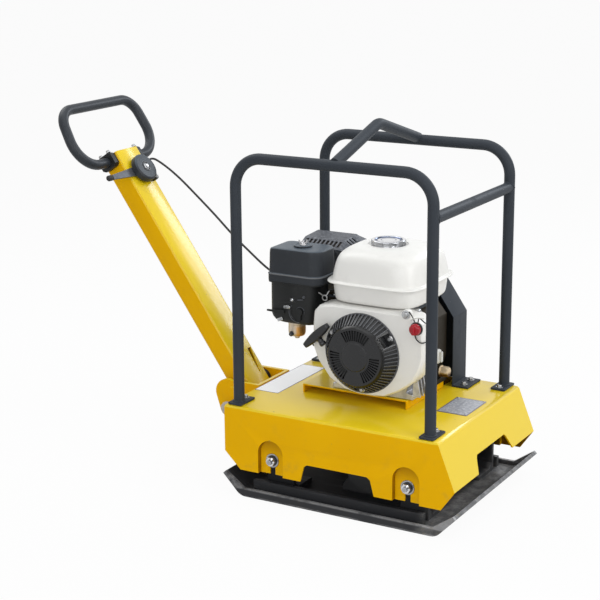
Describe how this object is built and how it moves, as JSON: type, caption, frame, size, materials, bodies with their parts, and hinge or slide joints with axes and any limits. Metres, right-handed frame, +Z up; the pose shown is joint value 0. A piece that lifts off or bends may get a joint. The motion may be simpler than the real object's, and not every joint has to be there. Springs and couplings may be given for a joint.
{
  "type": "plate compactor",
  "caption": "Petrol plate compactor: engine on a bent yellow deck over a heavy sole, black lifting cage, hinged handle with a looped grip and throttle lever.",
  "frame": {"origin": "middle of the flat of the sole, on the ground", "axes": "+X the travel direction, -Y the side with the starter, +Z up"},
  "size_m": [1.0981, 0.466, 0.8532],
  "materials": {
    "sole_iron": "dark scuffed cast plate",
    "yellow_paint": "semi-gloss yellow enamel on bent sheet",
    "tube_paint": "satin black paint",
    "mount_rubber": "moulded black rubber",
    "zinc": "zinc plated steel",
    "stop_rubber": "grey rubber sleeve",
    "grip_rubber": "matt black rubber",
    "throttle_grey": "grey die casting",
    "exciter_cast": "black painted casting",
    "engine_alloy": "bare die casting",
    "cover_white": "warm white enamel",
    "black_plastic": "moulded black plastic",
    "shaft_steel": "machined steel",
    "tank_white": "warm white gloss, drawn as one closed body",
    "cap_chrome": "bright plated",
    "filter_foam": "oiled foam",
    "bowl_brass": "yellow passivated bowl",
    "muffler_steel": "heat browned sheet",
    "guard_steel": "mottled grey sheet",
    "switch_red": "red knob",
    "oil_cap_plastic": "pale plastic plug"
  },
  "bodies": {
    "machine": {"base_plate": "sole_iron", "rubber_mount_front_near": "mount_rubber", "mount_nut_front_near": "zinc", "rubber_mount_front_far": "mount_rubber", "mount_nut_front_far": "zinc", "rubber_mount_rear_near": "mount_rubber", "mount_nut_rear_near": "zinc", "rubber_mount_rear_far": "mount_rubber", "mount_nut_rear_far": "zinc", "deck": "yellow_paint", "engine_bed": "yellow_paint", "cage_hoop_near": "tube_paint", "cage_hoop_far": "tube_paint", "cage_cross_tube": "tube_paint", "lifting_bar": "tube_paint", "handle_yoke": "yellow_paint", "handle_stop": "stop_rubber", "handle_pivot_bolt": "zinc", "handle_bush_near": "mount_rubber", "handle_bush_far": "mount_rubber", "throttle_cable": "grip_rubber", "engine_block": "engine_alloy", "cylinder": "engine_alloy", "rocker_cover": "engine_alloy", "spark_plug_cap": "black_plastic", "fan_cover": "cover_white", "recoil_cover": "black_plastic", "tank_bracket": "tube_paint", "fuel_tank": "tank_white", "air_cleaner_cover": "black_plastic", "air_filter": "filter_foam", "air_cleaner_case": "black_plastic", "carburettor_bowl": "bowl_brass", "muffler": "muffler_steel", "muffler_guard": "guard_steel", "switch_base": "black_plastic", "drive_belt": "grip_rubber", "exciter_housing": "exciter_cast", "belt_guard": "tube_paint"},
    "handle_body": {"handle": "yellow_paint", "handlebar": "grip_rubber", "handlebar_clamp_near": "black_plastic", "handlebar_clamp_far": "black_plastic", "throttle_housing": "throttle_grey"},
    "throttle": {"throttle_lever": "zinc", "throttle_lever_tip": "grip_rubber"},
    "governor_arm": {"control_arm": "zinc"},
    "crank": {"crankshaft": "shaft_steel", "flywheel": "engine_alloy", "clutch_drum": "shaft_steel"},
    "exciter": {"exciter_shaft": "shaft_steel", "exciter_pulley": "shaft_steel"},
    "starter_reel": {"recoil_pulley": "black_plastic"},
    "starter_handle": {"starter_grip": "black_plastic"},
    "filler_cap": {"fuel_cap": "cap_chrome"},
    "stop_switch": {"engine_switch": "switch_red"},
    "choke": {"choke_lever": "black_plastic"},
    "fuel_valve": {"fuel_valve_lever": "black_plastic"},
    "cover_nut": {"wing_nut": "zinc"},
    "oil_cap": {"oil_filler_cap": "oil_cap_plastic"}
  },
  "joints": [
    {"name": "handle_hinge", "type": "hinge", "parent": "machine", "child": "handle_body", "pos_m": [-0.358, 0, 0.187], "axis": [0, 1, 0], "range_deg": [0, 34], "deforming": ["throttle_cable"]},
    {"name": "throttle_hinge", "type": "hinge", "parent": "handle_body", "child": "throttle", "pos_m": [-0.6644, 0, 0.6839], "axis": [0.8221, 0, 0.5693], "range_deg": [0, 50]},
    {"name": "governor_hinge", "type": "hinge", "parent": "machine", "child": "governor_arm", "pos_m": [-0.101, -0.04, 0.45], "axis": [0, 0, 1], "range_deg": [0, 18]},
    {"name": "crank_spin", "type": "hinge", "parent": "machine", "child": "crank", "pos_m": [0.008, 0, 0.347], "axis": [0, 1, 0], "continuous": true},
    {"name": "exciter_spin", "type": "hinge", "parent": "machine", "child": "exciter", "pos_m": [0.03, 0, 0.082], "axis": [0, 1, 0], "continuous": true},
    {"name": "starter_reel_spin", "type": "hinge", "parent": "machine", "child": "starter_reel", "pos_m": [0.008, 0, 0.347], "axis": [0, 1, 0], "range_deg": [0, 415], "stiffness_Nm_per_rad": 0.15},
    {"name": "starter_pull", "type": "slide", "parent": "machine", "child": "starter_handle", "axis": [-0.6899, 0, 0.7239], "range_m": [0, 0.35]},
    {"name": "fuel_cap_turn", "type": "hinge", "parent": "machine", "child": "filler_cap", "pos_m": [0.007, 0.01, 0.568], "axis": [0, 0, 1], "range_deg": [0, 90]},
    {"name": "switch_turn", "type": "hinge", "parent": "machine", "child": "stop_switch", "pos_m": [0.1415, -0.1246, 0.4215], "axis": [0, -1, 0], "range_deg": [0, 60]},
    {"name": "choke_turn", "type": "hinge", "parent": "machine", "child": "choke", "pos_m": [-0.209, -0.0963, 0.409], "axis": [0, 1, 0], "range_deg": [0, 35]},
    {"name": "fuel_valve_turn", "type": "hinge", "parent": "machine", "child": "fuel_valve", "pos_m": [-0.163, -0.0963, 0.414], "axis": [0, -1, 0], "range_deg": [0, 40]},
    {"name": "cover_nut_turn", "type": "hinge", "parent": "machine", "child": "cover_nut", "pos_m": [-0.179, -0.053, 0.5573], "axis": [0, 0, 1], "continuous": true},
    {"name": "oil_cap_turn", "type": "hinge", "parent": "machine", "child": "oil_cap", "pos_m": [0.1003, 0.03, 0.317], "axis": [1, 0, 0], "continuous": true}
  ],
  "couplings": [
    {"joint": "governor_hinge", "follows": "throttle_hinge", "ratio": 0.36},
    {"joint": "exciter_spin", "follows": "crank_spin", "ratio": 0.9091},
    {"joint": "starter_pull", "follows": "starter_reel_spin", "m_per_rad": 0.048}
  ]
}
